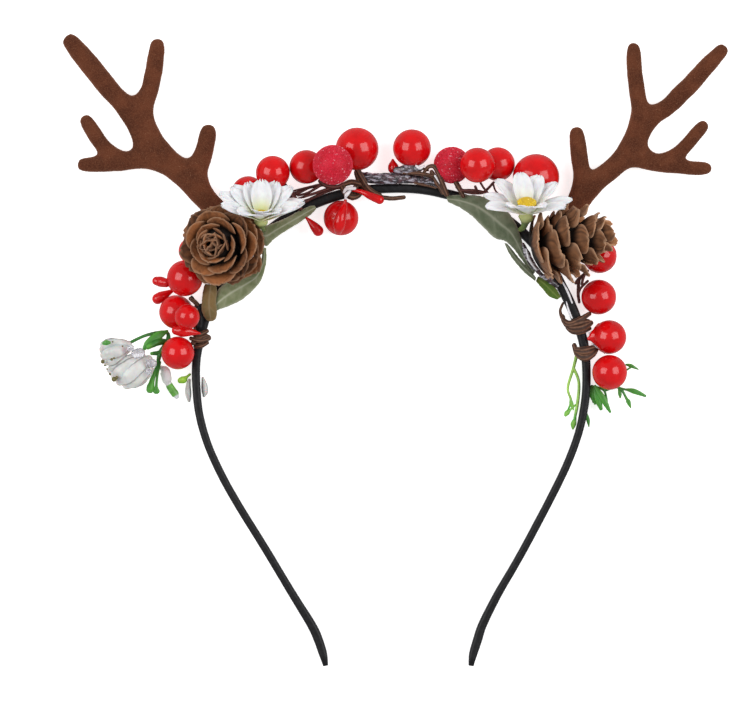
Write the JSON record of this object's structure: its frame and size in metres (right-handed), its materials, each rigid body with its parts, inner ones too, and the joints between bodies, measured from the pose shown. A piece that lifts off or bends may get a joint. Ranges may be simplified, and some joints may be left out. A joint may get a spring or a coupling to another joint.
{
  "type": "reindeer antler headband",
  "caption": "Slim open hoop headband lying on its back, with flat flocked branching antlers and a front spray of pine cones, daisies, glossy round berries, leaves and vine.",
  "frame": {"origin": "middle of the headband's outline across and along, on the plane that its flat back edge rests on", "axes": "+X across the hoop towards the wearer's left, +Y from the open tips to the crown and antlers, +Z out of the decorated front"},
  "size_m": [0.2399, 0.2281, 0.0355],
  "materials": {
    "ribbon": "satin ribbon over plastic",
    "flock": "flocked velvet",
    "cone_scale": "matt dry scale",
    "petal": "matt cloth",
    "pale_green": "matt cloth",
    "yellow": "grainy",
    "leaf": "matt cloth",
    "leaf_brown": "matt cloth",
    "bright_green": "matt cloth",
    "berry": "glossy lacquer",
    "frosted": "sugar frosted",
    "vine": "paper-wrapped wire",
    "stem_red": "paper-wrapped wire",
    "sprig": "soft plastic"
  },
  "bodies": {
    "root": {"antler_left": "flock", "antler_right": "flock", "band_petal_inner": "petal", "band_petal_outer": "petal", "bell_bud": "petal", "bell_bud_light": "sprig", "bell_flower_lower": "petal", "bell_flower_upper": "petal", "bell_sprig": "sprig", "berry_01": "berry", "berry_02": "berry", "berry_03": "berry", "berry_04": "berry", "berry_05": "berry", "berry_06": "berry", "berry_07": "berry", "berry_08": "berry", "berry_09": "berry", "berry_10": "berry", "berry_11": "berry", "berry_12": "berry", "berry_13": "berry", "berry_14": "berry", "berry_15": "berry", "berry_16": "berry", "berry_17": "berry", "berry_18": "berry", "daisy_left_base": "pale_green", "daisy_left_petals": "petal", "daisy_right_base": "pale_green", "daisy_right_disc": "yellow", "daisy_right_petals": "petal", "frosted_berry_left": "frosted", "frosted_berry_right": "frosted", "headband": "ribbon", "leaf_left_lobe": "leaf_brown", "leaf_left_lower": "leaf", "leaf_left_upper": "leaf", "leaf_right_bud": "bright_green", "leaf_right_lower": "leaf", "leaf_right_upper": "leaf", "pine_cone_left": "cone_scale", "pine_cone_right": "cone_scale", "pod_01": "berry", "pod_02": "berry", "pod_03": "berry", "pod_04": "berry", "pod_05": "berry", "pod_06": "berry", "pod_07": "berry", "sprig_inner": "sprig", "sprig_outer": "sprig", "stem_berry_pair": "stem_red", "stem_right": "stem_red", "vine_crown_left": "stem_red", "vine_crown_loop": "vine", "vine_crown_middle": "vine", "wrap_left": "vine", "wrap_right_lower": "vine", "wrap_right_upper": "vine"}
  },
  "joints": []
}
